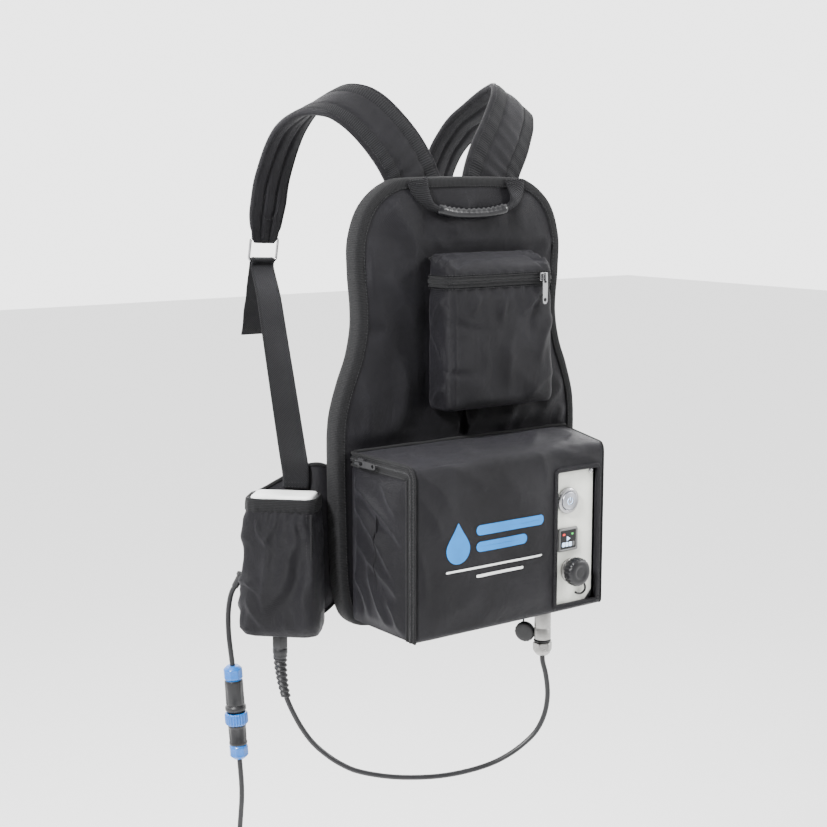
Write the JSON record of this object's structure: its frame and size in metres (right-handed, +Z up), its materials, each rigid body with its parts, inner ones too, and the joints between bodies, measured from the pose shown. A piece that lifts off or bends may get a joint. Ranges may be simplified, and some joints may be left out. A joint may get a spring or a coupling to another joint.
{
  "type": "battery back harness",
  "caption": "Padded back harness with shoulder straps, hip belt, tool pocket, zipped battery case with control panel, hip pouch holding a controller, and hanging power leads.",
  "frame": {"origin": "centre of the lumbar pad's face that rests on the wearer's back", "axes": "+Z up, +Y towards the wearer, -X towards the wearer's left hip"},
  "size_m": [0.5066, 0.3499, 0.9518],
  "materials": {
    "fabric": "coated nylon weave, slight sheen",
    "tape": "ribbed binding tape, matt",
    "foam": "spacer mesh over foam, matt",
    "webbing": "woven polypropylene, low sheen",
    "rubber": "satin black",
    "plastic": "moulded nylon, satin black",
    "blue": "moulded nylon, bright blue",
    "white": "off-white, satin",
    "panel": "off-white powder coat",
    "metal": "bright plated",
    "aluminium": "dark anodised",
    "board": "green laminate",
    "cell": "shrink wrap"
  },
  "bodies": {
    "harness": {"front_panel": "fabric", "shoulder_strap_left": "fabric", "shoulder_strap_right": "fabric", "pocket_body": "fabric", "pocket_top": "fabric", "case_cover": "fabric", "pouch_bag": "fabric", "edge_binding": "tape", "pocket_zip": "tape", "case_zip": "tape", "back_pad": "foam", "lumbar_pad": "foam", "hip_wing_left": "foam", "hip_wing_right": "foam", "strap_webbing_left": "webbing", "strap_webbing_right": "webbing", "belt_webbing_left": "webbing", "belt_webbing_right": "webbing", "cap_tether": "rubber", "outlet_dust_cap": "rubber", "pouch_strain_relief": "rubber", "lead_grommet": "rubber", "loop_cable": "rubber", "lead_upper": "rubber", "lead_lower": "rubber", "lead_hank": "rubber", "stiffener_board": "plastic", "buckle_socket": "plastic", "buckle_plug": "plastic", "battery_indicator": "plastic", "connector_plug": "plastic", "connector_socket": "plastic", "end_plug": "plastic", "connector_nut_upper": "blue", "connector_nut_lower": "blue", "controller_box": "white", "control_plate": "panel", "strap_ring_left": "metal", "strap_ring_right": "metal", "plate_screw_1": "metal", "plate_screw_2": "metal", "plate_screw_3": "metal", "button_bezel": "metal", "charge_socket": "metal", "outlet_socket": "metal", "outlet_plug": "metal", "outlet_nut": "metal", "battery_housing": "aluminium", "control_board": "board", "battery_pack": "cell"},
    "handle": {"handle_webbing": "webbing", "handle_grip": "rubber"},
    "button": {"button_cap": "white"},
    "cap": {"charge_cap": "rubber"},
    "ring": {"coupling_ring": "blue"},
    "pocket_zip_slider": {"pocket_slider": "metal"},
    "pocket_zip_puller": {"pocket_puller": "metal"},
    "case_zip_slider": {"case_slider": "metal"},
    "case_zip_puller": {"case_puller": "metal"},
    "side_door": {"case_gusset": "fabric"}
  },
  "joints": [
    {"name": "handle_swing", "type": "hinge", "parent": "harness", "child": "handle", "pos_m": [0.004, -0.033, 0.3382], "axis": [-1, 0, 0], "range_deg": [0, 150]},
    {"name": "button_press", "type": "slide", "parent": "harness", "child": "button", "axis": [0, 1, 0], "range_m": [0, 0.0015], "stiffness_N_per_m": 800},
    {"name": "charge_cap_turn", "type": "hinge", "parent": "harness", "child": "cap", "pos_m": [0.0635, -0.148, -0.0755], "axis": [0, -1, 0], "range_deg": [0, 90]},
    {"name": "coupling_ring_turn", "type": "hinge", "parent": "harness", "child": "ring", "pos_m": [-0.24523, 0.0385, -0.22492], "axis": [0.0433, -0.0315, -0.9986], "range_deg": [0, 120]},
    {"name": "pocket_zip_slide", "type": "slide", "parent": "harness", "child": "pocket_zip_slider", "axis": [-1, 0, 0], "range_m": [0, 0.11]},
    {"name": "pocket_puller_swing", "type": "hinge", "parent": "pocket_zip_slider", "child": "pocket_zip_puller", "pos_m": [0.078, -0.0751, 0.2331], "axis": [-1, 0, 0], "range_deg": [0, 150]},
    {"name": "case_zip_slide", "type": "slide", "parent": "harness", "child": "case_zip_slider", "axis": [0, -1, 0], "range_m": [0, 0.066]},
    {"name": "case_puller_swing", "type": "hinge", "parent": "case_zip_slider", "child": "case_zip_puller", "pos_m": [-0.1517, -0.0546, 0.0519], "axis": [0, 0, -1], "range_deg": [0, 150]},
    {"name": "side_door_swing", "type": "hinge", "parent": "harness", "child": "side_door", "pos_m": [-0.1458, -0.0335, -0.036], "axis": [0, 0, -1], "range_deg": [0, 70]}
  ]
}
